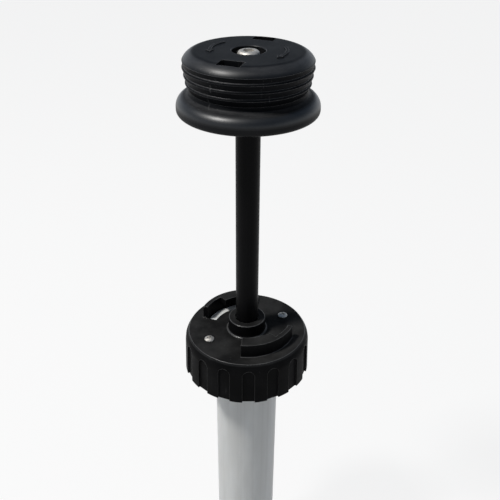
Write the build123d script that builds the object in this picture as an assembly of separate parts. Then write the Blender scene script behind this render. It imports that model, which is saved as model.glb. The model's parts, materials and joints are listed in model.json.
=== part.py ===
from build123d import *

import os
from math import asin, atan2, cos, degrees, hypot, pi, radians, sin, sqrt

# Hand pump that presses air through a threaded container neck.
# Lengths are in millimetres and angles in degrees, counter-clockwise from +X seen from above.
# The origin is on the pump's axis, in the plane where the gasket rests on the neck's rim.

# Clearances shared by the fits
running_clearance = 0.06
slip_clearance = 0.1
press_clearance = 0.02
seal_clearance = 0.08
stop_gap = 0.3

# Screw cap: plate, shoulder, fluted skirt and boss round the rod
neck_room = 5.5
cap_wall = 4.7
cap_draft = 0.6
cap_height = 28.0
shoulder_width = 2.1
shoulder_height = 6.5
cap_edge_round = 0.7
plate_thickness = 4.0
flute_count = 16
flute_width = 7.7
flute_depth = 1.3
flute_drop = 4.2
flute_phase = 2.0
boss_wall = 2.35
boss_height = 8.8
boss_lip = 1.6
boss_round = 0.9
boss_foot_round = 1.8
rod_hole_clearance = 0.7

# Bayonet lugs on the plate
lug_inner_radius = 27.2
lug_wall = 3.2
lug_start = 263.5
lug_span = 77.0
lug_stop_span = 4.0
lug_lip_span = 46.5
lug_lip_reach = 4.8
lug_lip_thickness = 4.3
lug_slot_height = 4.5
lug_edge_round = 0.5
lug_foot_round = 0.6

# Screws that hold the barrel's flange up against the plate
screw_room = 6.4
screw_azimuth = 28.7
screw_head_radius = 3.05
screw_head_height = 1.6
screw_head_rim = 0.5
screw_cross_length = 3.0
screw_cross_width = 0.8
screw_cross_depth = 0.9
screw_shank_radius = 1.4
screw_length = 11.0
screw_boss_wall = 1.7
screw_tip_room = 1.4

# Barrel: flange, keys that stand up in the cap's windows, locating spigot and tube
flange_inset = 1.5
flange_thickness = 4.0
key_gap = 0.5
key_drop = 1.1
gasket_thickness = 3.0
gasket_clearance = 0.2
spigot_margin = 2.6
spigot_wall = 2.3
spigot_depth = 6.0
spigot_land = 0.2
spigot_rib_count = 8
spigot_rib_thickness = 1.8
spigot_rib_depth = 3.5
barrel_bore_radius = 18.0
barrel_wall = 2.5

# Rod guide and wiper inside the boss
rod_radius = 7.0
rod_wall = 2.0
guide_wall = 2.4
guide_flange_thickness = 2.5
guide_ledge = 1.9
guide_drop = 3.0
guide_skirt_wall = 5.0
vent_count = 3
vent_width = 1.8
vent_depth = 0.8
wiper_thickness = 3.2

# Knob: height over the plate as drawn up, skirt, neck, grip rings and top disc
knob_lift = 145.7
stow_gap = 0.7
lug_room = 2.9
lug_crown_room = 0.9
skirt_rim = 3.2
skirt_round = 2.4
bead_radius = 6.2
bead_height = 3.8
neck_fillet = 3.4
neck_wall = 2.7
ring_count = 3
ring_rise = 3.3
ring_pitch = 4.15
ring_overhang = 1.9
ring_step = 0.72
groove_depth = 0.7
groove_rise = 1.1
disc_overhang = 4.0
disc_round = 8.1
disc_edge_rise = 2.5
disc_rise = 4.6
top_wall = 3.2
hub_wall = 2.5
counterbore_radius = 9.0
counterbore_depth = 5.0
counterbore_round = 0.6
hub_web = 3.0
rib_count = 8
rib_thickness = 2.0
rib_depth = 12.0

# Hooks under the knob and the windows over them
hook_azimuth = 250.2
hook_span = 22.0
hook_gap = 0.5
hook_stem_gap = 1.1
hook_stem = 2.7
hook_lip = 3.0
hook_lift = 0.2
window_width = 12.3
window_room = 2.9
window_wall = 2.0
window_depth = 18.0

# Screw and washer in the knob's counterbore
knob_screw_radius = 3.0
knob_screw_length = 17.0
knob_screw_head_radius = 5.9
knob_screw_head_height = 3.7
knob_screw_edge_round = 1.9
knob_screw_socket_radius = 3.3
knob_screw_socket_depth = 2.4
washer_thickness = 1.2
washer_margin = 0.8
top_plug_length = 15.0

# Piston stack on the rod's lower end
bumper_thickness = 6.0
bumper_wall = 5.5
piston_gap = 0.4
piston_height = 14.0
piston_edge = 0.8
piston_hole_radius = 1.2
piston_hole_count = 6
piston_ring_height = 8.0
piston_ring_thickness = 2.0
piston_ring_split = 1.5
cup_base = 3.0
cup_lip_height = 9.7
cup_lip_thickness = 1.4
cup_relief = 1.0
backing_inset = 6.0
backing_thickness = 2.1
bottom_plug_flange = 3.0
bottom_plug_length = 15.0
bottom_plug_spigot_radius = 4.0
swivel_play = 0.2
piston_screw_radius = 2.5
piston_screw_length = 14.0
piston_screw_flange_radius = 6.5
piston_screw_flange = 1.2
piston_screw_hex_radius = 4.6
piston_screw_hex_height = 2.6
bottom_gap = 0.6

# Foot valve in the barrel's lower end
foot_spigot_height = 8.0
foot_flange = 3.0
foot_ring_cord = 0.95
foot_ring_drop = 4.0
port_radius = 4.5
seat_width = 2.0
seat_height = 1.0
collar_wall = 2.4
collar_height = 5.0
cage_radius = 13.0
cage_wall = 2.2
cage_floor = 2.2
cage_slot_count = 4
cage_slot_width = 6.0
cage_slot_margin = 1.2
cage_vent_radius = 1.5
cage_vent_circle = 7.6
valve_seal_radius = 7.6
valve_seal_thickness = 1.5
poppet_disc_radius = 8.0
poppet_disc_thickness = 2.0
poppet_button_radius = 1.8
poppet_stem_radius = 2.0
poppet_stem_reach = 1.5
valve_travel = 3.0
spring_radius = 4.5
spring_wire_radius = 0.45
spring_turns = 5
spring_pressed_height = 6.7
spring_seat_gap = 0.05

# Heights of the stack, from the neck's rim up
flange_bottom = gasket_thickness
plate_bottom = flange_bottom + flange_thickness
plate_top = plate_bottom + plate_thickness
cap_bottom = plate_top - cap_height
boss_top = plate_top + boss_height
lug_height = lug_slot_height + lug_lip_thickness
knob_bottom = plate_top + knob_lift
stroke = knob_lift - stow_gap

# Radii from the barrel out to the cap
barrel_radius = barrel_bore_radius + barrel_wall
screw_circle_radius = barrel_radius + screw_room
spigot_radius = screw_circle_radius + spigot_margin
neck_thread_radius = spigot_radius + neck_room
flange_radius = neck_thread_radius - flange_inset
grip_radius = neck_thread_radius + cap_wall
cap_rim_radius = grip_radius + cap_draft
plate_radius = grip_radius - shoulder_width
shoulder_bottom = plate_top - shoulder_height

# Radii of the rod's guide and boss, the bayonet lugs and the hooks
guide_radius = rod_radius + guide_wall
guide_flange_radius = barrel_bore_radius + guide_ledge
boss_bore_radius = guide_radius + press_clearance
boss_radius = boss_bore_radius + boss_wall
lug_outer_radius = lug_inner_radius + lug_wall
lug_lip_radius = lug_inner_radius - lug_lip_reach
hook_stem_radius = lug_lip_radius - hook_stem_gap
hook_lip_radius = lug_inner_radius - hook_gap

# Radii of the knob, round the lugs and outside the windows
cavity_radius = lug_outer_radius + lug_room
skirt_radius = cavity_radius + skirt_rim + skirt_round
bead_centre = skirt_radius - bead_radius
window_outer_radius = hook_lip_radius + window_room
neck_radius = window_outer_radius + window_wall
fillet_centre = neck_radius + neck_fillet
upper_cavity_radius = neck_radius - neck_wall
ring_radius = neck_radius + ring_overhang
disc_radius = neck_radius + disc_overhang

# Heights inside the knob, from its lower rim up
neck_top = bead_height + sqrt((bead_radius + neck_fillet) ** 2 - (fillet_centre - bead_centre) ** 2)
ring_heights = [neck_top + ring_rise + ring * ring_pitch for ring in range(ring_count)]
disc_bottom = ring_heights[-1] + groove_rise + disc_edge_rise
knob_height = disc_bottom + disc_rise
hub_bottom = boss_height + stow_gap
counterbore_floor = knob_height - counterbore_depth
rod_socket_top = counterbore_floor - hub_web

# Heights of the piston stack as drawn up, from the guide's lower face down
guide_bottom = -guide_drop
piston_top = guide_bottom - stop_gap - bumper_thickness
piston_bottom = piston_top - piston_height
cup_bottom = piston_bottom - cup_base
backing_bottom = cup_bottom - backing_thickness
spigot_end = backing_bottom - swivel_play
rod_bottom = piston_top + swivel_play / 2 + bottom_plug_flange
rod_top = knob_bottom + rod_socket_top
rod_bore_radius = rod_radius - rod_wall
piston_bore_radius = bottom_plug_spigot_radius + running_clearance
backing_radius = barrel_bore_radius - backing_inset
piston_screw_end = spigot_end - piston_screw_flange - piston_screw_hex_height

# Heights of the foot valve, below the lowest point that the piston reaches
piston_reach = min(piston_bottom - cup_lip_height, piston_screw_end)
foot_top = piston_reach - stroke - bottom_gap
barrel_bottom = foot_top - foot_spigot_height
foot_bottom = barrel_bottom - foot_flange
seat_bottom = foot_bottom - seat_height
poppet_top = seat_bottom - valve_seal_thickness
spring_top = poppet_top - poppet_disc_thickness
spring_height = spring_pressed_height + valve_travel
cage_floor_top = spring_top - spring_height
cage_bottom = cage_floor_top - cage_floor


def at(radius, height):
    return Vector(radius, 0, height)


def turned(*edges):
    return revolve(Face(Wire(edges)), Axis.Z)


def lines(*points):
    return [Line(start, end) for start, end in zip(points, points[1:])]


def turned_outline(*points):
    return turned(*lines(*points, points[0]))


def ring(inner, outer, bottom, top):
    return turned_outline(at(inner, bottom), at(outer, bottom), at(outer, top), at(inner, top))


def rod_between(radius, bottom, top):
    column = Cylinder(radius, top - bottom, align=(Align.CENTER, Align.CENTER, Align.MIN))
    return Pos(0, 0, bottom) * column


def arc_block(inner, outer, start, span, bottom, top):
    corners = [at(inner, bottom), at(outer, bottom), at(outer, top), at(inner, top)]
    section = Face(Wire(lines(*corners, corners[0])))
    return Rot(0, 0, start) * revolve(section, Axis.Z, span)


def block(near, far, width, bottom, top):
    place = Pos((near + far) / 2, 0, (bottom + top) / 2)
    return place * Box(far - near, width, top - bottom)


def around(piece, count, first=0.0):
    return [Rot(0, 0, first + 360 * turn / count) * piece for turn in range(count)]


def round_over(centre_radius, centre_height, radius, start, end):
    angles = [start, (start + end) / 2, end]
    points = [
        at(centre_radius + radius * cos(radians(angle)), centre_height + radius * sin(radians(angle)))
        for angle in angles
    ]
    return ThreePointArc(*points)


def dome(radius, bottom, top):
    height = top - bottom
    sphere = hypot(radius, height) ** 2 / (2 * height)
    return round_over(0, top - sphere, sphere, degrees(atan2(bottom - top + sphere, radius)), 90)


def cross_recess(width, length, bottom, top):
    half = length / 2
    return block(-half, half, width, bottom, top) + Rot(0, 0, 90) * block(-half, half, width, bottom, top)


# Cap

def cap_flute():
    slope = atan2(cap_draft, shoulder_bottom - cap_bottom)
    floor = Plane(
        origin=(grip_radius - flute_depth, 0, shoulder_bottom),
        x_dir=(0, 1, 0),
        z_dir=(cos(slope), 0, sin(slope)),
    )
    arch = flute_width / 2
    arch_height = shoulder_height - flute_drop - arch
    lower_end = cap_bottom - shoulder_bottom - arch
    outline = Pos(0, arch_height) * Circle(arch)
    outline += Pos(0, (arch_height + lower_end) / 2) * Rectangle(flute_width, arch_height - lower_end)
    return extrude(floor * outline, flute_depth + arch)


def lug_arc(inner, span, bottom):
    outer = lug_outer_radius
    edge = lug_edge_round
    top = plate_top + lug_height
    section = lines(at(inner, top - edge), at(inner, bottom), at(outer, bottom), at(outer, top - edge))
    section += [
        round_over(outer - edge, top - edge, edge, 0, 90),
        Line(at(outer - edge, top), at(inner + edge, top)),
        round_over(inner + edge, top - edge, edge, 90, 180),
    ]
    return Rot(0, 0, lug_start) * revolve(Face(Wire(section)), Axis.Z, span)


def lug_foot():
    inner = lug_outer_radius - lug_wall / 2
    outer = lug_outer_radius + lug_foot_round
    top = plate_top + lug_foot_round
    section = lines(
        at(lug_outer_radius, top),
        at(inner, top),
        at(inner, plate_bottom),
        at(outer, plate_bottom),
        at(outer, plate_top),
    )
    section.append(round_over(outer, top, lug_foot_round, 270, 180))
    return Rot(0, 0, lug_start) * revolve(Face(Wire(section)), Axis.Z, lug_span)


def bayonet_lug():
    wall = lug_arc(lug_inner_radius, lug_span, plate_bottom)
    lip = lug_arc(lug_lip_radius, lug_lip_span, plate_top + lug_slot_height)
    stop = lug_arc(lug_lip_radius, lug_stop_span, plate_bottom)
    return wall + lip + stop + lug_foot()


def lug_window():
    start = lug_start + lug_stop_span
    span = lug_span - lug_stop_span
    return arc_block(hook_stem_radius, lug_inner_radius, start, span, plate_bottom, plate_top)


def cap_screw_hole():
    hole = rod_between(screw_shank_radius + slip_clearance, plate_bottom, plate_top)
    return Pos(screw_circle_radius, 0, 0) * hole


def screw_cap():
    rod_hole = rod_radius + rod_hole_clearance
    bore_top = boss_top - boss_lip
    edge = cap_edge_round
    foot = boss_radius + boss_foot_round
    lower_rim = at(cap_rim_radius, cap_bottom)
    shoulder = at(grip_radius, shoulder_bottom)
    upper_edge = at(plate_radius, plate_top - edge)
    body = turned(
        Line(at(rod_hole, bore_top), at(boss_bore_radius, bore_top)),
        Line(at(boss_bore_radius, bore_top), at(boss_bore_radius, plate_bottom)),
        Line(at(boss_bore_radius, plate_bottom), at(neck_thread_radius, plate_bottom)),
        Line(at(neck_thread_radius, plate_bottom), at(neck_thread_radius, cap_bottom)),
        Line(at(neck_thread_radius, cap_bottom), lower_rim),
        Line(lower_rim, shoulder),
        TangentArc(shoulder, upper_edge, tangent=shoulder - lower_rim),
        round_over(plate_radius - edge, plate_top - edge, edge, 0, 90),
        Line(at(plate_radius - edge, plate_top), at(foot, plate_top)),
        round_over(foot, plate_top + boss_foot_round, boss_foot_round, 270, 180),
        Line(at(boss_radius, plate_top + boss_foot_round), at(boss_radius, boss_top - boss_round)),
        round_over(boss_radius - boss_round, boss_top - boss_round, boss_round, 0, 90),
        Line(at(boss_radius - boss_round, boss_top), at(rod_hole, boss_top)),
        Line(at(rod_hole, boss_top), at(rod_hole, bore_top)),
    )
    body += around(bayonet_lug(), 2)
    body -= around(lug_window(), 2)
    body -= around(cap_screw_hole(), 2, screw_azimuth)
    return body - around(cap_flute(), flute_count, flute_phase)


def cap_screws():
    rim = plate_top + screw_head_rim
    head_top = plate_top + screw_head_height
    head = turned(
        Line(at(0, plate_top), at(screw_head_radius, plate_top)),
        Line(at(screw_head_radius, plate_top), at(screw_head_radius, rim)),
        dome(screw_head_radius, rim, head_top),
        Line(at(0, head_top), at(0, plate_top)),
    )
    shank = rod_between(screw_shank_radius, plate_top - screw_length, plate_top)
    cross_floor = head_top - screw_cross_depth
    cross = cross_recess(screw_cross_width, screw_cross_length, cross_floor, head_top)
    return around(Pos(screw_circle_radius, 0, 0) * (head + shank - cross), 2, screw_azimuth)


# Barrel and what is clamped with it

def flange_key():
    inner = hook_stem_radius + key_gap
    end_gap = degrees(key_gap / inner)
    start = lug_start + lug_stop_span + end_gap
    span = lug_span - lug_stop_span - 2 * end_gap
    return arc_block(inner, lug_inner_radius - key_gap, start, span, plate_bottom, plate_top - key_drop)


def barrel():
    guide_seat = plate_bottom - guide_flange_thickness
    guide_recess = guide_flange_radius + slip_clearance
    land = spigot_radius - spigot_land
    spigot_inner = spigot_radius - spigot_wall
    body = turned_outline(
        at(barrel_bore_radius, barrel_bottom),
        at(barrel_radius, barrel_bottom),
        at(barrel_radius, flange_bottom),
        at(spigot_inner, flange_bottom),
        at(spigot_inner, -spigot_depth),
        at(spigot_radius, -spigot_depth),
        at(spigot_radius, 0),
        at(land, 0),
        at(land, flange_bottom),
        at(flange_radius, flange_bottom),
        at(flange_radius, plate_bottom),
        at(guide_recess, plate_bottom),
        at(guide_recess, guide_seat),
        at(barrel_bore_radius, guide_seat),
    )
    body += around(flange_key(), 2)
    rib_start = barrel_radius - barrel_wall / 2
    rib_end = spigot_inner + spigot_wall / 2
    rib = block(rib_start, rib_end, spigot_rib_thickness, -spigot_rib_depth, flange_bottom)
    body += around(rib, spigot_rib_count, screw_azimuth + 180 / spigot_rib_count)
    hole_bottom = plate_top - screw_length - screw_tip_room
    boss_bottom = hole_bottom - screw_boss_wall
    boss = rod_between(screw_shank_radius + screw_boss_wall, boss_bottom, flange_bottom)
    boss = Pos(screw_circle_radius, 0, 0) * boss
    boss = boss & rod_between(land, boss_bottom, flange_bottom)
    body += around(boss, 2, screw_azimuth)
    pilot = rod_between(screw_shank_radius + press_clearance, hole_bottom, plate_bottom)
    return body - around(Pos(screw_circle_radius, 0, 0) * pilot, 2, screw_azimuth)


def neck_gasket():
    return ring(spigot_radius + gasket_clearance, flange_radius, 0, gasket_thickness)


def rod_guide():
    bore = rod_radius + running_clearance
    skirt = bore + guide_skirt_wall
    flange_low = plate_bottom - guide_flange_thickness
    wiper_bottom = boss_top - boss_lip - wiper_thickness
    body = turned_outline(
        at(bore, guide_bottom),
        at(skirt, guide_bottom),
        at(skirt, flange_low),
        at(guide_flange_radius, flange_low),
        at(guide_flange_radius, plate_bottom),
        at(guide_radius, plate_bottom),
        at(guide_radius, wiper_bottom),
        at(bore, wiper_bottom),
    )
    vent = block(rod_radius, bore + vent_depth, vent_width, guide_bottom, wiper_bottom)
    return body - around(vent, vent_count, screw_azimuth)


def rod_wiper():
    wiper_top = boss_top - boss_lip
    return ring(rod_radius + seal_clearance, guide_radius, wiper_top - wiper_thickness, wiper_top)


# Knob and rod

def skirt_edges():
    rim = cavity_radius + skirt_rim
    lean = degrees(atan2(neck_top - bead_height, fillet_centre - bead_centre))
    return [
        Line(at(cavity_radius, 0), at(rim, 0)),
        round_over(rim, skirt_round, skirt_round, -90, 0),
        Line(at(skirt_radius, skirt_round), at(skirt_radius, bead_height)),
        round_over(bead_centre, bead_height, bead_radius, 0, lean),
        round_over(fillet_centre, neck_top, neck_fillet, 180 + lean, 180),
    ]


def grip_edges():
    edges = []
    last = at(neck_radius, neck_top)
    for number, height in enumerate(ring_heights):
        crest = at(ring_radius + number * ring_step, height)
        groove = crest + at(-groove_depth, groove_rise)
        edges += [Line(last, crest), TangentArc(crest, groove, tangent=(0, 0, 1))]
        last = groove
    disc_centre = disc_radius - disc_round
    round_angle = degrees(asin((disc_round - disc_rise) / disc_round))
    disc_edge = round_over(disc_centre, knob_height - disc_round, disc_round, round_angle, 90)
    return edges + [Line(last, disc_edge @ 0), disc_edge]


def inner_edges():
    disc_centre = disc_radius - disc_round
    mouth = counterbore_radius + counterbore_round
    socket = rod_radius + press_clearance
    screw_hole = knob_screw_radius + slip_clearance
    hub = counterbore_radius + hub_wall
    ceiling = knob_height - top_wall
    corner = neck_wall / 2
    edges = [
        Line(at(disc_centre, knob_height), at(mouth, knob_height)),
        round_over(mouth, knob_height - counterbore_round, counterbore_round, 90, 180),
    ]
    return edges + lines(
        at(counterbore_radius, knob_height - counterbore_round),
        at(counterbore_radius, counterbore_floor),
        at(screw_hole, counterbore_floor),
        at(screw_hole, rod_socket_top),
        at(socket, rod_socket_top),
        at(socket, hub_bottom),
        at(hub, hub_bottom),
        at(hub, ceiling),
        at(upper_cavity_radius - corner, ceiling),
        at(upper_cavity_radius, ceiling - corner),
        at(upper_cavity_radius, lug_height + neck_wall),
        at(lug_outer_radius + lug_crown_room, lug_height),
        at(cavity_radius, bead_height),
        at(cavity_radius, 0),
    )


def knob_shell():
    return turned(*skirt_edges(), *grip_edges(), *inner_edges())


def knob_hook():
    start = -hook_span / 2
    stem_inner = hook_stem_radius - hook_stem
    ceiling = knob_height - top_wall / 2
    stem = arc_block(stem_inner, hook_stem_radius, start, hook_span, hook_lift, ceiling)
    into_stem = hook_stem_radius - hook_stem / 2
    lip = arc_block(into_stem, hook_lip_radius, start, hook_span, hook_lift, hook_lift + hook_lip)
    web_end = stem_inner + hook_stem / 2
    web = block(counterbore_radius + hub_wall / 2, web_end, rib_thickness, hub_bottom + hub_wall, ceiling)
    return stem + lip + web


def knob():
    body = knob_shell()
    ceiling = knob_height - top_wall
    into_hub = counterbore_radius + hub_wall / 2
    into_wall = upper_cavity_radius + neck_wall / 2
    rib = block(into_hub, into_wall, rib_thickness, ceiling - rib_depth, ceiling + top_wall / 2)
    rib_pairs = rib_count // 2
    for turn in range(1, rib_pairs):
        body += around(rib, 2, hook_azimuth + 180 * turn / rib_pairs)
    window_floor = knob_height - window_depth
    window = block(hook_stem_radius, window_outer_radius, window_width, window_floor, knob_height)
    body -= around(window, 2, hook_azimuth)
    body += around(knob_hook(), 2, hook_azimuth)
    return Pos(0, 0, knob_bottom) * body


def knob_washer():
    bottom = knob_bottom + counterbore_floor
    hole = knob_screw_radius + slip_clearance
    return ring(hole, counterbore_radius - washer_margin, bottom, bottom + washer_thickness)


def knob_screw():
    seat = knob_bottom + counterbore_floor + washer_thickness
    head_top = seat + knob_screw_head_height
    edge = knob_screw_edge_round
    flat = knob_screw_head_radius - edge
    head = turned(
        Line(at(0, seat), at(knob_screw_head_radius, seat)),
        Line(at(knob_screw_head_radius, seat), at(knob_screw_head_radius, head_top - edge)),
        round_over(flat, head_top - edge, edge, 0, 90),
        Line(at(flat, head_top), at(0, head_top)),
        Line(at(0, head_top), at(0, seat)),
    )
    socket_floor = head_top - knob_screw_socket_depth
    socket = extrude(RegularPolygon(knob_screw_socket_radius, 6), knob_screw_head_height)
    shank = rod_between(knob_screw_radius, seat - knob_screw_length, seat)
    return head + shank - Pos(0, 0, socket_floor) * socket


def pump_rod():
    return ring(rod_bore_radius, rod_radius, rod_bottom, rod_top)


def rod_top_plug():
    hole = knob_screw_radius + press_clearance
    return ring(hole, rod_bore_radius - press_clearance, rod_top - top_plug_length, rod_top)


def rod_bottom_plug():
    insert = rod_bore_radius - press_clearance
    hole = piston_screw_radius + press_clearance
    flange_bottom_height = rod_bottom - bottom_plug_flange
    hole_top = spigot_end + piston_screw_length + piston_screw_radius
    body = turned_outline(
        at(0, spigot_end),
        at(bottom_plug_spigot_radius, spigot_end),
        at(bottom_plug_spigot_radius, flange_bottom_height),
        at(rod_radius, flange_bottom_height),
        at(rod_radius, rod_bottom),
        at(insert, rod_bottom),
        at(insert, rod_bottom + bottom_plug_length),
        at(0, rod_bottom + bottom_plug_length),
    )
    return body - rod_between(hole, spigot_end, hole_top)


# Piston stack

def stop_bumper():
    inner = rod_radius + stop_gap
    return ring(inner, inner + bumper_wall, piston_top, piston_top + bumper_thickness)


def piston():
    outer = barrel_bore_radius - piston_gap
    middle = (piston_top + piston_bottom) / 2
    floor = barrel_bore_radius - seal_clearance - piston_ring_thickness - press_clearance
    half = piston_ring_height / 2 + slip_clearance
    body = turned_outline(
        at(piston_bore_radius, piston_bottom),
        at(outer, piston_bottom),
        at(outer, middle - half),
        at(floor, middle - half),
        at(floor, middle + half),
        at(outer, middle + half),
        at(outer, piston_top - piston_edge),
        at(outer - piston_edge, piston_top),
        at(piston_bore_radius, piston_top),
    )
    hole_circle = (rod_radius + stop_gap + bumper_wall + floor) / 2
    hole = Pos(hole_circle, 0, 0) * rod_between(piston_hole_radius, piston_bottom, piston_top)
    return body - around(hole, piston_hole_count)


def piston_guide_ring():
    outer = barrel_bore_radius - seal_clearance
    middle = (piston_top + piston_bottom) / 2
    low = middle - piston_ring_height / 2
    band = ring(outer - piston_ring_thickness, outer, low, low + piston_ring_height)
    split = block(outer - 2 * piston_ring_thickness, outer + piston_ring_thickness, piston_ring_split,
                  low, low + piston_ring_height)
    return band - split


def piston_cup_seal():
    lip = barrel_bore_radius - seal_clearance
    lip_end = piston_bottom - cup_lip_height
    relief = lip - cup_relief
    root = lip - cup_relief - 2 * cup_lip_thickness
    return turned_outline(
        at(piston_bore_radius, piston_bottom),
        at(relief, piston_bottom),
        at(relief, cup_bottom),
        at(lip, lip_end + cup_lip_thickness),
        at(lip, lip_end),
        at(lip - cup_lip_thickness, lip_end),
        at(root, cup_bottom),
        at(piston_bore_radius, cup_bottom),
    )


def piston_washer():
    return ring(piston_bore_radius, backing_radius, backing_bottom, cup_bottom)


def piston_screw():
    flange_low = spigot_end - piston_screw_flange
    flange = rod_between(piston_screw_flange_radius, flange_low, spigot_end)
    hexagon = extrude(RegularPolygon(piston_screw_hex_radius, 6), piston_screw_hex_height)
    hexagon = Pos(0, 0, flange_low - piston_screw_hex_height) * hexagon
    shank = rod_between(piston_screw_radius, flange_low, spigot_end + piston_screw_length)
    return flange + hexagon + shank


# Foot valve

def foot_valve_body():
    plug = barrel_bore_radius - slip_clearance
    groove = plug - 2 * foot_ring_cord
    middle = foot_top - foot_ring_drop
    collar_inner = cage_radius + press_clearance
    collar_outer = collar_inner + collar_wall
    collar_low = foot_bottom - collar_height
    seat_outer = port_radius + seat_width
    return turned_outline(
        at(port_radius, foot_top),
        at(plug, foot_top),
        at(plug, middle + foot_ring_cord),
        at(groove, middle + foot_ring_cord),
        at(groove, middle - foot_ring_cord),
        at(plug, middle - foot_ring_cord),
        at(plug, barrel_bottom),
        at(barrel_radius, barrel_bottom),
        at(barrel_radius, foot_bottom),
        at(collar_outer, foot_bottom),
        at(collar_outer, collar_low),
        at(collar_inner, collar_low),
        at(collar_inner, foot_bottom),
        at(seat_outer, foot_bottom),
        at(seat_outer, seat_bottom),
        at(port_radius, seat_bottom),
    )


def foot_seal_ring():
    centre = barrel_bore_radius - slip_clearance - foot_ring_cord
    return Pos(0, 0, foot_top - foot_ring_drop) * Torus(centre, foot_ring_cord - press_clearance)


def valve_cage():
    inner = cage_radius - cage_wall
    stem_hole = poppet_stem_radius + running_clearance
    body = turned_outline(
        at(stem_hole, cage_bottom),
        at(cage_radius, cage_bottom),
        at(cage_radius, foot_bottom),
        at(inner, foot_bottom),
        at(inner, cage_floor_top),
        at(stem_hole, cage_floor_top),
    )
    slot_top = foot_bottom - collar_height - cage_slot_margin
    slot_bottom = cage_floor_top + cage_slot_margin
    slot = block(inner - cage_wall, cage_radius + cage_wall, cage_slot_width, slot_bottom, slot_top)
    body -= around(slot, cage_slot_count)
    vent = Pos(cage_vent_circle, 0, 0) * rod_between(cage_vent_radius, cage_bottom, cage_floor_top)
    return body - around(vent, cage_slot_count, 180 / cage_slot_count)


def valve_seal():
    return ring(poppet_button_radius + slip_clearance, valve_seal_radius, poppet_top, seat_bottom)


def valve_poppet():
    button = rod_between(poppet_button_radius, poppet_top, seat_bottom)
    disc = rod_between(poppet_disc_radius, spring_top, poppet_top)
    stem = rod_between(poppet_stem_radius, cage_bottom - poppet_stem_reach, spring_top)
    return button + disc + stem


def spring_point(turns, pitch, start):
    angle = 2 * pi * turns
    return Vector(spring_radius * cos(angle), spring_radius * sin(angle), start + pitch * turns)


def spring_tangent(turns, pitch):
    angle = 2 * pi * turns
    run = 2 * pi * spring_radius
    return Vector(-run * sin(angle), run * cos(angle), pitch).normalized()


def quarter_turn(turns, pitch, start):
    first = spring_point(turns, pitch, start)
    last = spring_point(turns + 0.25, pitch, start)
    first_way = spring_tangent(turns, pitch)
    last_way = spring_tangent(turns + 0.25, pitch)
    chord = last - first
    along = chord.dot(first_way + last_way)
    spread = 1 - first_way.dot(last_way)
    reach = (-along + (along**2 + 2 * spread * chord.dot(chord)) ** 0.5) / (2 * spread)
    joint = (first + last + (first_way - last_way) * reach) * 0.5
    joint_way = (last - last_way * reach) - (first + first_way * reach)
    return [
        Edge.make_tangent_arc(first, first_way, joint),
        Edge.make_tangent_arc(joint, joint_way.normalized(), last),
    ]


def spring_pitch():
    room = spring_height - 2 * (spring_wire_radius + spring_seat_gap)
    return room / spring_turns


def valve_spring():
    pitch = spring_pitch()
    start = cage_floor_top + spring_seat_gap + spring_wire_radius
    path = []
    for quarter in range(4 * spring_turns):
        path += quarter_turn(quarter / 4, pitch, start)
    wire_end = Plane(origin=spring_point(0, pitch, start), z_dir=spring_tangent(0, pitch))
    return sweep(wire_end * Circle(spring_wire_radius), path=Wire(path))


def spring_gap():
    pitch = spring_pitch()
    turn_steps = 48
    steps = range(turn_steps * spring_turns + 1)
    points = [spring_point(step / turn_steps, pitch, 0) for step in steps]
    pairs = [
        (points[one] - points[two]).length
        for one in steps
        for two in range(one + turn_steps // 2, len(points))
    ]
    return min(pairs) - 2 * spring_wire_radius


pieces = [
    screw_cap, cap_screws, barrel, neck_gasket, rod_guide, rod_wiper,
    knob, knob_washer, knob_screw, pump_rod, rod_top_plug, rod_bottom_plug,
    stop_bumper, piston, piston_guide_ring, piston_cup_seal, piston_washer, piston_screw,
    foot_valve_body, foot_seal_ring, valve_cage, valve_seal, valve_poppet, valve_spring,
]

os.makedirs("parts", exist_ok=True)
for piece in pieces:
    solid = piece()
    if isinstance(solid, list):
        solid = Compound(children=solid)
    export_step(solid, f"parts/{piece.__name__}.step")

print(f"stroke {stroke:.1f} mm, foot at {cage_bottom:.1f} mm")
print(f"top of the knob at {knob_bottom + knob_height:.1f} mm")
print(f"least gap between the spring's turns {spring_gap():.2f} mm")
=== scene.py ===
import bmesh
import bpy
import json
from math import cos, pi, radians, sin
from mathutils import Matrix, Vector


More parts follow.
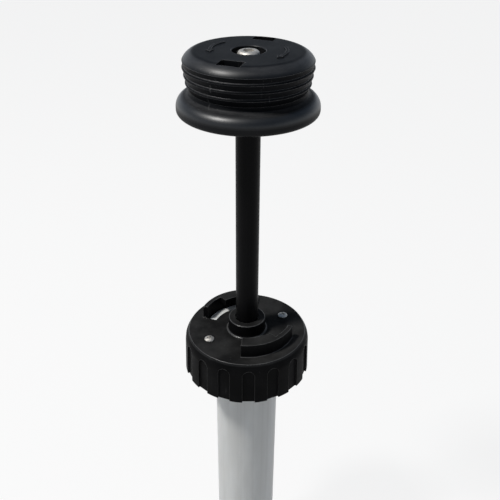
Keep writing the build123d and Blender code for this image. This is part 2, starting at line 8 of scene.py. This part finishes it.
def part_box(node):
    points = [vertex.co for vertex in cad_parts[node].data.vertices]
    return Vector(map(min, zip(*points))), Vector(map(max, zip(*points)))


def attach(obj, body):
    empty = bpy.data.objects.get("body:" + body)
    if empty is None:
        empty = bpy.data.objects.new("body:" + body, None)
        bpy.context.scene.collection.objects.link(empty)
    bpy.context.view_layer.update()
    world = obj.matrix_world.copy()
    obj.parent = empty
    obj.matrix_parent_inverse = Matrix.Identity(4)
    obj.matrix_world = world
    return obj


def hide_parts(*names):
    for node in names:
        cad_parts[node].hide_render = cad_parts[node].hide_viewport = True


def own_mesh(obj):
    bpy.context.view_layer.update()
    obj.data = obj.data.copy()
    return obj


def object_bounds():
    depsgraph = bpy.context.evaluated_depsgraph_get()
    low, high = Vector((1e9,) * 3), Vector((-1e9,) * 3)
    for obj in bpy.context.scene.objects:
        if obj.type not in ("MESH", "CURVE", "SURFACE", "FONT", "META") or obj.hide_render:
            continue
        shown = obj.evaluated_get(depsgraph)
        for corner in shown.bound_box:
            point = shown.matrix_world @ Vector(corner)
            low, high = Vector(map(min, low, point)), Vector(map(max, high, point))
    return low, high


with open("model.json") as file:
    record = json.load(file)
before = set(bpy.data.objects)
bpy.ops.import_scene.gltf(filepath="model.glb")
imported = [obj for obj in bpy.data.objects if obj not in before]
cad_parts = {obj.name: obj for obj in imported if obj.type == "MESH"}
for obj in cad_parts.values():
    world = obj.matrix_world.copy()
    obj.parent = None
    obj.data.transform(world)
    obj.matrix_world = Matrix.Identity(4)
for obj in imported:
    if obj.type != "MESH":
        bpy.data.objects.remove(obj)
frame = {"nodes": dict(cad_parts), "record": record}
cadLow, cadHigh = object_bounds()
mm = 0.001


# node helpers shared by the finishes

usualRoughness = 0.55  # of a noise pattern
edgeSamples = 6  # rays for each rounded edge


def newFinish(name):
    finish = bpy.data.materials.new(name)
    finish.use_nodes = True
    tree = finish.node_tree
    shader = tree.nodes["Principled BSDF"]
    coords = tree.nodes.new("ShaderNodeTexCoord").outputs["Object"]
    return finish, tree, shader, coords


def grain(tree, coords, scale, detail, roughness=usualRoughness):
    noise = tree.nodes.new("ShaderNodeTexNoise")
    noise.inputs["Detail"].default_value = detail
    noise.inputs["Roughness"].default_value = roughness
    if isinstance(scale, tuple):
        # a pattern that is drawn out along an axis
        mapping = tree.nodes.new("ShaderNodeMapping")
        mapping.inputs["Scale"].default_value = scale
        tree.links.new(coords, mapping.inputs["Vector"])
        coords = mapping.outputs["Vector"]
        scale = 1.0
    noise.inputs["Scale"].default_value = scale
    tree.links.new(coords, noise.inputs["Vector"])
    return noise.outputs["Fac"]


def spread(tree, value, low, high, newLow=0.0, newHigh=1.0):
    ranged = tree.nodes.new("ShaderNodeMapRange")
    ranged.interpolation_type = "SMOOTHSTEP"
    limits = {"From Min": low, "From Max": high, "To Min": newLow, "To Max": newHigh}
    for socket, number in limits.items():
        ranged.inputs[socket].default_value = number
    tree.links.new(value, ranged.inputs["Value"])
    return ranged.outputs["Result"]


def calc(tree, operation, first, second):
    node = tree.nodes.new("ShaderNodeMath")
    node.operation = operation
    for socket, value in zip(node.inputs, (first, second)):
        if isinstance(value, (int, float)):
            socket.default_value = value
        else:
            tree.links.new(value, socket)
    return node.outputs["Value"]


def times(tree, *values):
    product = values[0]
    for value in values[1:]:
        product = calc(tree, "MULTIPLY", product, value)
    return product


def most(tree, *values):
    largest = values[0]
    for value in values[1:]:
        largest = calc(tree, "MAXIMUM", largest, value)
    return largest


def blended(tree, share, first, second):
    mix = tree.nodes.new("ShaderNodeMix")
    mix.data_type = "RGBA"
    # sockets 6, 7 and 2 of a Mix node are the ones for colours
    for socket, value in ((mix.inputs[6], first), (mix.inputs[7], second)):
        if isinstance(value, tuple):
            socket.default_value = (*value, 1.0)
        else:
            tree.links.new(value, socket)
    tree.links.new(share, mix.inputs["Factor"])
    return mix.outputs[2]


def dressed(tree, shader, colour, rough):
    tree.links.new(colour, shader.inputs["Base Color"])
    tree.links.new(rough, shader.inputs["Roughness"])


def bumped(tree, shader, height, strength, distance, normal=None):
    bump = tree.nodes.new("ShaderNodeBump")
    bump.inputs["Strength"].default_value = strength
    bump.inputs["Distance"].default_value = distance
    tree.links.new(height, bump.inputs["Height"])
    if normal is not None:
        tree.links.new(normal, bump.inputs["Normal"])
    tree.links.new(bump.outputs["Normal"], shader.inputs["Normal"])


def upPart(tree, vector):
    split = tree.nodes.new("ShaderNodeSeparateXYZ")
    tree.links.new(vector, split.inputs["Vector"])
    return split.outputs["Z"]


def facingUp(tree, low, high):
    normal = tree.nodes.new("ShaderNodeNewGeometry").outputs["Normal"]
    return spread(tree, upPart(tree, normal), low, high)


def softEdges(tree, radius):
    bevel = tree.nodes.new("ShaderNodeBevel")
    bevel.samples = edgeSamples
    bevel.inputs["Radius"].default_value = radius
    return bevel.outputs["Normal"]


def rubbedEdges(tree, rounded, slight, full):
    flat = tree.nodes.new("ShaderNodeNewGeometry").outputs["Normal"]
    dot = tree.nodes.new("ShaderNodeVectorMath")
    dot.operation = "DOT_PRODUCT"
    tree.links.new(rounded, dot.inputs[0])
    tree.links.new(flat, dot.inputs[1])
    return spread(tree, dot.outputs["Value"], slight, full)


# finishes, one function each

# a Pattern is scale, detail and, where it is unusual, roughness
# a pair that ends in Between or Facing is where a share starts and where it is full
# the lighter colour on worn edges and sloped rounds is partly real wear and partly a painted highlight
blackMouldingLook = {
    "knob": {
        "deep": (0.0028, 0.0031, 0.0038), "pale": (0.0056, 0.0061, 0.0072),
        "dust": 0.14, "film": 0.08, "rough": 0.42, "roughSpread": 0.06, "gloss": 0.03, "spark": 0.14,
        "edgeBetween": (0.998, 0.968), "polish": 0.02, "roundsWearAndHighlight": 0.27, "leastWorn": 0.6, "scratch": 0.40,
        "dulled": 0.20, "wearAndHighlight": (0.085, 0.085, 0.088), "wearFacing": (-1.2, 0.4),
        "coat": 1.0, "coatRough": 0.40, "gripBand": (9.2, 28.8), "bandSoft": 0.8,
        "topFacing": (0.86, 0.999), "topMatt": 0.70, "underFacing": (0.40, -0.04), "underMatt": 0.84,
        "discPolish": 0.62, "beadWearAndHighlight": 0.2,
    },
    "cap": {
        "deep": (0.0030, 0.0030, 0.0032), "pale": (0.0066, 0.0066, 0.0070),
        "dust": 0.34, "film": 0.25, "rough": 0.43, "roughSpread": 0.13, "gloss": 0.03, "spark": 0.22,
        "edgeBetween": (0.985, 0.86), "polish": 0.18, "roundsWearAndHighlight": 0.5, "leastWorn": 0.6, "scratch": 0.20,
        "dulled": 0.08, "wearAndHighlight": (0.115, 0.115, 0.115), "wearFacing": (-0.3, 0.5),
        "coat": 1.0, "coatRough": 0.28,
    },
    "foot": {
        "deep": (0.0060, 0.0060, 0.0064), "pale": (0.0120, 0.0120, 0.0126),
        "dust": 0.05, "film": 0.10, "rough": 0.44, "roughSpread": 0.13, "gloss": 0.22, "spark": 0.18,
        "edgeBetween": (0.985, 0.86), "polish": 0.06, "roundsWearAndHighlight": 0.1, "leastWorn": 0.2, "scratch": 0.10,
        "dulled": 0.04, "wearAndHighlight": (0.060, 0.060, 0.060), "wearFacing": (-1.2, 0.4),
    },
    "dustColour": (0.24, 0.24, 0.235), "scratchColour": (0.11, 0.11, 0.11),
    "edgeRadius": 0.35 * mm, "sparkDepth": 0.10 * mm, "ior": 1.49,
    "cloudPattern": (55.0, 5.0), "sparkPattern": (2600.0, 2.0), "speckPattern": (900.0, 3.0, 0.6),
    "scuffPattern": ((160.0, 160.0, 900.0), 6.0, 0.7), "streakPattern": ((1000.0, 1000.0, 55.0), 2.0),
    "toneBetween": (0.3, 0.75), "wornBetween": (0.35, 0.65), "roughBetween": (0.25, 0.75),
    "patchBetween": (0.50, 0.66), "streakBetween": (0.62, 0.74),
    "speckBetween": (0.66, 0.78), "filmBetween": (0.35, 0.65), "dustFacing": (0.55, 0.95),
    "roundsFacing": (0.52, 0.70), "notFlatFacing": (0.99, 0.93), "dulledFacing": (0.94, 0.99),
    "thinFilm": 1 / 3, "smoothShare": 1 / 3,
}


def acrossHeight(tree, coords, own, edge, below, above):
    # one share below a height over the knob's foot, another above it
    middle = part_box("knob")[0].z + edge * mm
    soft = own["bandSoft"] * mm
    return spread(tree, upPart(tree, coords), middle - soft, middle + soft, below, above)


def handPolish(tree, coords, own, crests):
    # hands polish the bead, the disc's round and the rings' crests, and the rest stays matt
    low, high = own["gripBand"]
    aboveLow = acrossHeight(tree, coords, own, low, 0.0, 1.0)
    belowHigh = acrossHeight(tree, coords, own, high, 1.0, 0.0)
    band = times(tree, aboveLow, belowHigh, calc(tree, "SUBTRACT", 1.0, crests))
    flatTop = times(tree, facingUp(tree, *own["topFacing"]), own["topMatt"])
    under = times(tree, facingUp(tree, *own["underFacing"]), own["underMatt"])
    polished = calc(tree, "SUBTRACT", 1.0, most(tree, band, flatTop, under))
    return times(tree, polished, acrossHeight(tree, coords, own, high, 1.0, own["discPolish"]))


def blackMoulding(name):
    look = blackMouldingLook
    own = look[name]
    finish, tree, shader, coords = newFinish(name + "Moulding")
    cloud = grain(tree, coords, *look["cloudPattern"])
    spark = grain(tree, coords, *look["sparkPattern"])
    scuff = grain(tree, coords, *look["scuffPattern"])
    rounded = softEdges(tree, look["edgeRadius"])
    edges = rubbedEdges(tree, rounded, *own["edgeBetween"])
    # upper edges wear more than those of the sides; the lighter colour on edges and sloped rounds is partly
    # wear and partly a painted highlight
    worn = times(tree, edges, facingUp(tree, *own["wearFacing"]))
    slopes = times(tree, facingUp(tree, *look["roundsFacing"]), facingUp(tree, *look["notFlatFacing"]))
    rounds = times(tree, slopes, own["roundsWearAndHighlight"])
    if "gripBand" in own:
        lowest = own["gripBand"][0]
        rounds = times(tree, rounds, acrossHeight(tree, coords, own, lowest, own["beadWearAndHighlight"], 1.0))
    worn = most(tree, worn, rounds)
    wearAndHighlight = times(tree, worn, spread(tree, scuff, *look["wornBetween"], own["leastWorn"], 1.0))
    streaks = spread(tree, grain(tree, coords, *look["streakPattern"]), *look["streakBetween"])
    scratched = times(tree, streaks, spread(tree, cloud, *look["patchBetween"]), own["scratch"])
    colour = blended(tree, spread(tree, cloud, *look["toneBetween"]), own["deep"], own["pale"])
    # painted highlight: this lighter colour on edges and sloped rounds is partly real wear and partly stands
    # in for highlight lines
    colour = blended(tree, wearAndHighlight, colour, own["wearAndHighlight"])
    colour = blended(tree, scratched, colour, look["scratchColour"])
    # dust lies on what faces up, in fine specks over a thin film
    specks = spread(tree, grain(tree, coords, *look["speckPattern"]), *look["speckBetween"])
    film = spread(tree, cloud, *look["filmBetween"], own["film"] * look["thinFilm"], own["film"])
    dust = times(tree, most(tree, specks, film), facingUp(tree, *look["dustFacing"]), own["dust"])
    smoothest = own["rough"] - own["roughSpread"] * look["smoothShare"]
    rough = spread(tree, scuff, *look["roughBetween"], smoothest, own["rough"] + own["roughSpread"])
    rough = calc(tree, "ADD", rough, times(tree, facingUp(tree, *look["dulledFacing"]), own["dulled"]))
    rough = calc(tree, "SUBTRACT", rough, times(tree, worn, own["polish"]))
    dressed(tree, shader, blended(tree, dust, colour, look["dustColour"]), rough)
    bumped(tree, shader, spark, own["spark"], look["sparkDepth"], rounded)
    shader.inputs["IOR"].default_value = look["ior"]
    shader.inputs["Specular IOR Level"].default_value = own["gloss"]
    if "coat" in own:
        polished = handPolish(tree, coords, own, edges) if "gripBand" in own else wearAndHighlight
        tree.links.new(times(tree, polished, own["coat"]), shader.inputs["Coat Weight"])
        tree.links.new(rounded, shader.inputs["Coat Normal"])
        shader.inputs["Coat Roughness"].default_value = own["coatRough"]
    return finish


rodLook = {
    "deep": (0.0030, 0.0030, 0.0033), "worn": (0.0100, 0.0100, 0.0104),
    "drawnPattern": ((700.0, 700.0, 5.0), 3.0), "drawnBetween": (0.45, 0.75),
    "wipedPattern": ((30.0, 30.0, 420.0), 4.0), "wipedBetween": (0.4, 0.8),
    "roughBetween": (0.3, 0.7), "rough": (0.32, 0.44), "bump": (0.10, 0.04 * mm), "gloss": 0.05,
}


def rodBlack():
    look = rodLook
    finish, tree, shader, coords = newFinish("rodBlack")
    drawn = grain(tree, coords, *look["drawnPattern"])
    wiped = grain(tree, coords, *look["wipedPattern"])
    worn = times(tree, spread(tree, drawn, *look["drawnBetween"]), spread(tree, wiped, *look["wipedBetween"]))
    colour = blended(tree, worn, look["deep"], look["worn"])
    dressed(tree, shader, colour, spread(tree, wiped, *look["roughBetween"], *look["rough"]))
    bumped(tree, shader, drawn, *look["bump"])
    shader.inputs["Specular IOR Level"].default_value = look["gloss"]
    return finish


paleMouldingLook = {
    "natural": {
        "deep": (0.585, 0.590, 0.575), "pale": (0.72, 0.73, 0.72), "rough": 0.42, "soft": 0.30,
        "line": (0.50, 0.50, 0.48), "lined": 0.32, "scuff": (0.44, 0.43, 0.40), "scuffed": 0.30,
    },
    "bearing": {
        "deep": (0.70, 0.69, 0.64), "pale": (0.80, 0.79, 0.75), "rough": 0.34, "soft": 0.12,
        "line": (0.64, 0.63, 0.58), "lined": 0.20, "scuff": (0.55, 0.53, 0.47), "scuffed": 0.10,
    },
    "flowPattern": ((45.0, 45.0, 9.0), 5.0), "flowBetween": (0.3, 0.7),
    "linePattern": ((520.0, 520.0, 3.0), 3.0), "lineBetween": (0.50, 0.72),
    "scuffPattern": ((260.0, 260.0, 60.0), 5.0, 0.65), "scuffBetween": (0.60, 0.72),
    "scuffPatchBetween": (0.48, 0.62), "scuffRough": 0.5,
    "finePattern": (1700.0, 2.0), "bump": (0.08, 0.06 * mm), "edgeRadius": 0.30 * mm,
    "roughBetween": (0.25, 0.75), "roughChange": (-0.06, 0.08),
    "softReach": (2.2 * mm, 2.0 * mm, 1.8 * mm), "softScale": 1.0,
}


def paleMoulding(name):
    look = paleMouldingLook
    own = look[name]
    finish, tree, shader, coords = newFinish(name + "Moulding")
    flow = grain(tree, coords, *look["flowPattern"])
    fine = grain(tree, coords, *look["finePattern"])
    colour = blended(tree, spread(tree, flow, *look["flowBetween"]), own["deep"], own["pale"])
    # faint lines from the draw of the mould, and scuffs from going in and out of the neck
    lines = grain(tree, coords, *look["linePattern"])
    scuffs = grain(tree, coords, *look["scuffPattern"])
    colour = blended(tree, spread(tree, lines, *look["lineBetween"], 0.0, own["lined"]), colour, own["line"])
    patches = spread(tree, flow, *look["scuffPatchBetween"])
    scuffed = times(tree, spread(tree, scuffs, *look["scuffBetween"]), patches, own["scuffed"])
    colour = blended(tree, scuffed, colour, own["scuff"])
    smoothest, roughest = [own["rough"] + change for change in look["roughChange"]]
    rough = spread(tree, flow, *look["roughBetween"], smoothest, roughest)
    dressed(tree, shader, colour, calc(tree, "ADD", rough, times(tree, scuffed, look["scuffRough"])))
    bumped(tree, shader, fine, *look["bump"], softEdges(tree, look["edgeRadius"]))
    shader.inputs["Subsurface Weight"].default_value = own["soft"]
    shader.inputs["Subsurface Radius"].default_value = look["softReach"]
    shader.inputs["Subsurface Scale"].default_value = look["softScale"]
    return finish


metalLook = {
    "brightSteel": {"deep": (0.36, 0.345, 0.32), "pale": (0.63, 0.60, 0.55), "rough": 0.64},
    "plugBrass": {"deep": (0.46, 0.33, 0.12), "pale": (0.70, 0.54, 0.25), "rough": 0.28},
    "turnedPattern": ((260.0, 260.0, 2600.0), 3.0), "bump": (0.12, 0.03 * mm),
    "tarnishPattern": (420.0, 6.0, 0.65), "tarnishBetween": (0.3, 0.62),
    "roughBetween": (0.3, 0.7), "roughChange": (0.12, -0.06),
    "edgeRadius": 0.15 * mm,
}


def turnedMetal(name):
    look = metalLook
    own = look[name]
    finish, tree, shader, coords = newFinish(name)
    turned = grain(tree, coords, *look["turnedPattern"])
    tarnish = grain(tree, coords, *look["tarnishPattern"])
    colour = blended(tree, spread(tree, tarnish, *look["tarnishBetween"]), own["deep"], own["pale"])
    roughest, smoothest = [own["rough"] + change for change in look["roughChange"]]
    dressed(tree, shader, colour, spread(tree, tarnish, *look["roughBetween"], roughest, smoothest))
    bumped(tree, shader, turned, *look["bump"], softEdges(tree, look["edgeRadius"]))
    shader.inputs["Metallic"].default_value = 1.0
    return finish


rubberLook = {
    "deep": (0.010, 0.010, 0.010), "bloom": (0.045, 0.045, 0.046),
    "bloomPattern": (120.0, 6.0, 0.6), "bloomBetween": (0.45, 0.8),
    "roughBetween": (0.3, 0.7), "rough": (0.55, 0.72),
    "finePattern": (2100.0, 2.0), "bump": (0.10, 0.08 * mm),
}


def sealRubber():
    look = rubberLook
    finish, tree, shader, coords = newFinish("sealRubber")
    bloom = grain(tree, coords, *look["bloomPattern"])
    fine = grain(tree, coords, *look["finePattern"])
    colour = blended(tree, spread(tree, bloom, *look["bloomBetween"]), look["deep"], look["bloom"])
    dressed(tree, shader, colour, spread(tree, bloom, *look["roughBetween"], *look["rough"]))
    bumped(tree, shader, fine, *look["bump"])
    return finish


feltLook = {
    "deep": (0.16, 0.16, 0.15), "pale": (0.34, 0.34, 0.32),
    "fibrePattern": ((1500.0, 1500.0, 500.0), 6.0, 0.7), "fibreBetween": (0.3, 0.7),
    "rough": (0.90, 1.0), "bump": (0.6, 0.3 * mm), "sheen": 0.4,
}


def wiperFelt():
    look = feltLook
    finish, tree, shader, coords = newFinish("wiperFelt")
    fibre = grain(tree, coords, *look["fibrePattern"])
    colour = blended(tree, spread(tree, fibre, *look["fibreBetween"]), look["deep"], look["pale"])
    dressed(tree, shader, colour, spread(tree, fibre, *look["fibreBetween"], *look["rough"]))
    bumped(tree, shader, fibre, *look["bump"])
    shader.inputs["Sheen Weight"].default_value = look["sheen"]
    return finish


finishes = {
    "knob_moulding": blackMoulding("knob"),
    "cap_moulding": blackMoulding("cap"),
    "foot_moulding": blackMoulding("foot"),
    "rod_black": rodBlack(),
    "natural_moulding": paleMoulding("natural"),
    "bearing_plastic": paleMoulding("bearing"),
    "bright_steel": turnedMetal("brightSteel"),
    "plug_brass": turnedMetal("plugBrass"),
    "seal_rubber": sealRubber(),
    "wiper_felt": wiperFelt(),
}


def dressNodes():
    for row in frame["record"]["subparts"]:
        piece = frame["nodes"][row["node"]]
        piece.data.materials.clear()
        piece.data.materials.append(finishes[row["material_slot"]])


dressNodes()
print("finishes set:", len(finishes))


# pieces that the solids leave to the looks

weldDistance = 0.001 * mm


def addPiece(name, shape, body, slot):
    bmesh.ops.remove_doubles(shape, verts=shape.verts, dist=weldDistance)
    bmesh.ops.recalc_face_normals(shape, faces=shape.faces)
    mesh = bpy.data.meshes.new(name)
    shape.to_mesh(mesh)
    shape.free()
    mesh.materials.append(finishes[slot])
    piece = bpy.data.objects.new(name, mesh)
    bpy.context.scene.collection.objects.link(piece)
    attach(piece, body)
    return piece


def startFace(shape, corners):
    verts = [shape.verts.new((radius * mm, 0, height * mm)) for radius, height in corners]
    return [shape.faces.new(verts)]


def wound(shape, geometry, turns, pitch, stepsPerTurn):
    steps = max(1, round(abs(turns) * stepsPerTurn))
    rise = (0, 0, pitch * turns / steps * mm)
    done = bmesh.ops.spin(
        shape, geom=geometry, cent=(0, 0, 0), axis=(0, 0, 1), dvec=rise,
        angle=2 * pi * turns, steps=steps, use_merge=False, use_duplicate=False,
    )
    return done["geom_last"]


neckThread = {
    "root": 35.05, "crest": 33.7, "pitch": 6.0, "start": -14.6, "turns": 2.0,
    "rootHalf": 1.5, "crestHalf": 0.6, "fade": 0.16, "stepsPerTurn": 96,
}


def makeNeckThread():
    setup = neckThread
    shape = bmesh.new()
    low, high = setup["start"] - setup["rootHalf"], setup["start"] + setup["rootHalf"]
    crestLow, crestHigh = setup["start"] - setup["crestHalf"], setup["start"] + setup["crestHalf"]
    root, crest = setup["root"], setup["crest"]
    corners = [(root, low), (crest, crestLow), (crest, crestHigh), (root, high)]
    wound(shape, startFace(shape, corners), setup["turns"], setup["pitch"], setup["stepsPerTurn"])
    # the ridge runs out into the wall at both ends
    depth = (root - crest) * mm
    for vert in shape.verts:
        turn = (vert.co.z / mm - setup["start"]) / setup["pitch"]
        fromEnd = min(turn, setup["turns"] - turn)
        radius = vert.co.xy.length
        if radius < root * mm - depth / 2 and fromEnd < setup["fade"]:
            sunk = depth * (1 - max(fromEnd, 0) / setup["fade"])
            vert.co.xy *= (radius + sunk) / radius
    addPiece("neckThread", shape, "pump_body", "cap_moulding")


makeNeckThread()


coil = {
    "radius": 4.5, "wire": 0.45, "floor": -203.8, "seatGap": 0.05, "height": 9.7, "pressed": 6.7,
    "closedTurns": 1.0, "openTurns": 4.0, "stepsPerTurn": 40, "sides": 12,
    "closedPitch": 2.05,  # in radii of the wire
}


def makeCoil():
    setup = coil
    shape = bmesh.new()
    wire = setup["wire"]
    low = setup["floor"] + setup["seatGap"] + wire
    rise = setup["height"] - 2 * (setup["seatGap"] + wire)
    ring = [2 * pi * side / setup["sides"] for side in range(setup["sides"])]
    corners = [(setup["radius"] + wire * cos(angle), low + wire * sin(angle)) for angle in ring]
    closedPitch = setup["closedPitch"] * wire
    openPitch = (rise - 2 * setup["closedTurns"] * closedPitch) / setup["openTurns"]
    end = wound(shape, startFace(shape, corners), setup["closedTurns"], closedPitch, setup["stepsPerTurn"])
    end = wound(shape, end, setup["openTurns"], openPitch, setup["stepsPerTurn"])
    wound(shape, end, setup["closedTurns"], closedPitch, setup["stepsPerTurn"])
    piece = addPiece("valveCoil", shape, "pump_body", "bright_steel")
    for polygon in piece.data.polygons:
        polygon.use_smooth = True
    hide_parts("valve_spring")
    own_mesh(piece)


makeCoil()


turnMarks = {
    "height": 0.45, "sink": 0.2, "edge": 0.14, "edgeSegments": 2, "sharpFrom": 1.0,
    "arrows": [
        {"start": 130.0, "sweep": 52.0, "inner": 19.2, "outer": 20.9},
        {"start": 16.0, "sweep": -52.0, "inner": 19.2, "outer": 20.9},
    ],
    "headLength": 3.6, "headWidth": 4.4, "stepsPerTurn": 120,
}


def roundedOff(shape):
    setup = turnMarks
    paired = [edge for edge in shape.edges if len(edge.link_faces) == 2]
    sharp = [edge for edge in paired if edge.calc_face_angle(0) > setup["sharpFrom"]]
    bmesh.ops.bevel(
        shape, geom=sharp, offset=setup["edge"] * mm, offset_type="OFFSET", affect="EDGES",
        segments=setup["edgeSegments"], profile=0.5, material=-1,
    )


def raisedPlate(shape, points, low, high):
    verts = [shape.verts.new((x * mm, y * mm, low)) for x, y in points]
    face = shape.faces.new(verts)
    top = bmesh.ops.extrude_face_region(shape, geom=[face])["geom"]
    lifted = [item for item in top if isinstance(item, bmesh.types.BMVert)]
    bmesh.ops.translate(shape, verts=lifted, vec=(0, 0, high - low))


def makeArrow(number, setup, low, high):
    shape = bmesh.new()
    middle = (setup["inner"] + setup["outer"]) / 2
    corners = [
        (setup["inner"], low / mm), (setup["outer"], low / mm),
        (setup["outer"], high / mm), (setup["inner"], high / mm),
    ]
    turns = setup["sweep"] / 360
    wound(shape, startFace(shape, corners), turns, 0, turnMarks["stepsPerTurn"])
    startTurn = Matrix.Rotation(radians(setup["start"]), 3, "Z")
    bmesh.ops.rotate(shape, verts=shape.verts, cent=(0, 0, 0), matrix=startTurn)
    roundedOff(shape)
    head = bmesh.new()
    way = 1 if turns > 0 else -1
    half = turnMarks["headWidth"] / 2
    points = [(middle - half, 0), (middle + half, 0), (middle, way * turnMarks["headLength"])]
    raisedPlate(head, points, low, high)
    endTurn = Matrix.Rotation(radians(setup["start"] + setup["sweep"]), 3, "Z")
    bmesh.ops.rotate(head, verts=head.verts, cent=(0, 0, 0), matrix=endTurn)
    bmesh.ops.recalc_face_normals(head, faces=head.faces)
    roundedOff(head)
    headMesh = bpy.data.meshes.new("arrowHead")
    head.to_mesh(headMesh)
    head.free()
    shape.from_mesh(headMesh)
    bpy.data.meshes.remove(headMesh)
    addPiece(f"turnArrow{number}", shape, "handle", "knob_moulding")


def makeTurnMarks():
    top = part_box("knob")[1].z
    low, high = top - turnMarks["sink"] * mm, top + turnMarks["height"] * mm
    for number, setup in enumerate(turnMarks["arrows"], 1):
        makeArrow(number, setup, low, high)


makeTurnMarks()
print("thread, coil and marks made")


# camera at the photograph's place, and plain studio light

cameraSetup = {
    "place": (1.59 * mm, -362.1 * mm, 287.6 * mm),
    "pitchDown": 31.10,
    "roll": 0.49,
    "focalPixels": 699.7,
    "imagePixels": 500.0,
    "sensor": 36.0,
    "nearest": 0.01,
}


def placeCamera():
    setup = cameraSetup
    lens = bpy.data.cameras.new("photoCamera")
    lens.sensor_width = setup["sensor"]
    lens.lens = setup["sensor"] * setup["focalPixels"] / setup["imagePixels"]
    lens.clip_start = setup["nearest"]
    camera = bpy.data.objects.new("photoCamera", lens)
    turn = Matrix.Rotation(radians(90 - setup["pitchDown"]), 4, "X")
    roll = Matrix.Rotation(radians(setup["roll"]), 4, "Z")
    camera.matrix_world = Matrix.Translation(setup["place"]) @ turn @ roll
    bpy.context.scene.collection.objects.link(camera)
    bpy.context.scene.camera = camera


lampSetup = {
    "aim": (0, 0, 0.10),
    "key": {"place": (-0.69, -0.26, 1.24), "size": 0.20, "power": 18.0, "colour": (1.0, 0.98, 0.95)},
    "side": {"place": (0.85, -0.35, 0.45), "size": 0.60, "power": 0.25, "colour": (0.9, 0.95, 1.0)},
}


def placeLamps():
    target = Vector(lampSetup["aim"])
    for name in ("key", "side"):
        setup = lampSetup[name]
        lamp = bpy.data.lights.new(name, "AREA")
        lamp.energy = setup["power"]
        lamp.size = setup["size"]
        lamp.color = setup["colour"]
        holder = bpy.data.objects.new(name, lamp)
        place = Vector(setup["place"])
        turn = (target - place).to_track_quat("-Z", "Y").to_matrix().to_4x4()
        holder.matrix_world = Matrix.Translation(place) @ turn
        bpy.context.scene.collection.objects.link(holder)


def showsPale(tree):
    path = tree.nodes.new("ShaderNodeLightPath")
    rays = ("Is Camera Ray", "Is Glossy Ray", "Is Transmission Ray")
    return most(tree, *[path.outputs[ray] for ray in rays])


worldSetup = {
    "ambient": (0.80, 0.88, 1.0), "ambientStrength": 0.24,
    "pale": (0.85, 0.90, 0.96), "overhead": (0.13, 0.18, 0.26), "paleUpTo": 0.12, "overheadFrom": 0.40,
}


def makeWorld():
    setup = worldSetup
    world = bpy.data.worlds.new("studioWorld")
    bpy.context.scene.world = world
    world.use_nodes = True
    tree = world.node_tree
    ambient = tree.nodes["Background"]
    ambient.inputs["Color"].default_value = (*setup["ambient"], 1)
    ambient.inputs["Strength"].default_value = setup["ambientStrength"]
    pale = tree.nodes.new("ShaderNodeBackground")
    # the backdrop is pale round the horizon and dims overhead
    direction = tree.nodes.new("ShaderNodeTexCoord").outputs["Generated"]
    dimmed = spread(tree, upPart(tree, direction), setup["paleUpTo"], setup["overheadFrom"])
    backdrop = blended(tree, dimmed, setup["pale"], setup["overhead"])
    tree.links.new(backdrop, pale.inputs["Color"])
    mix = tree.nodes.new("ShaderNodeMixShader")
    tree.links.new(showsPale(tree), mix.inputs["Fac"])
    tree.links.new(ambient.outputs["Background"], mix.inputs[1])
    tree.links.new(pale.outputs["Background"], mix.inputs[2])
    tree.links.new(mix.outputs["Shader"], tree.nodes["World Output"].inputs["Surface"])


floorSetup = {"halfSide": 4.0, "colour": (0.78, 0.78, 0.78), "rough": 0.9, "lift": 0.86}


def makeFloor():
    setup = floorSetup
    shape = bmesh.new()
    bmesh.ops.create_grid(shape, x_segments=1, y_segments=1, size=setup["halfSide"])
    bmesh.ops.translate(shape, verts=shape.verts, vec=(0, 0, cadLow.z))
    mesh = bpy.data.meshes.new("floor")
    shape.to_mesh(mesh)
    shape.free()
    floor = bpy.data.objects.new("floor", mesh)
    bpy.context.scene.collection.objects.link(floor)
    finish = bpy.data.materials.new("paleFloor")
    finish.use_nodes = True
    tree = finish.node_tree
    matt = tree.nodes["Principled BSDF"]
    matt.inputs["Base Color"].default_value = (*setup["colour"], 1)
    matt.inputs["Roughness"].default_value = setup["rough"]
    glow = tree.nodes.new("ShaderNodeEmission")
    mix = tree.nodes.new("ShaderNodeMixShader")
    tree.links.new(times(tree, showsPale(tree), setup["lift"]), mix.inputs["Fac"])
    tree.links.new(matt.outputs["BSDF"], mix.inputs[1])
    tree.links.new(glow.outputs["Emission"], mix.inputs[2])
    tree.links.new(mix.outputs["Shader"], tree.nodes["Material Output"].inputs["Surface"])
    mesh.materials.append(finish)


bpy.context.scene.view_settings.view_transform = "Standard"
placeCamera()
placeLamps()
makeWorld()
makeFloor()
print("camera, lamps and floor placed")
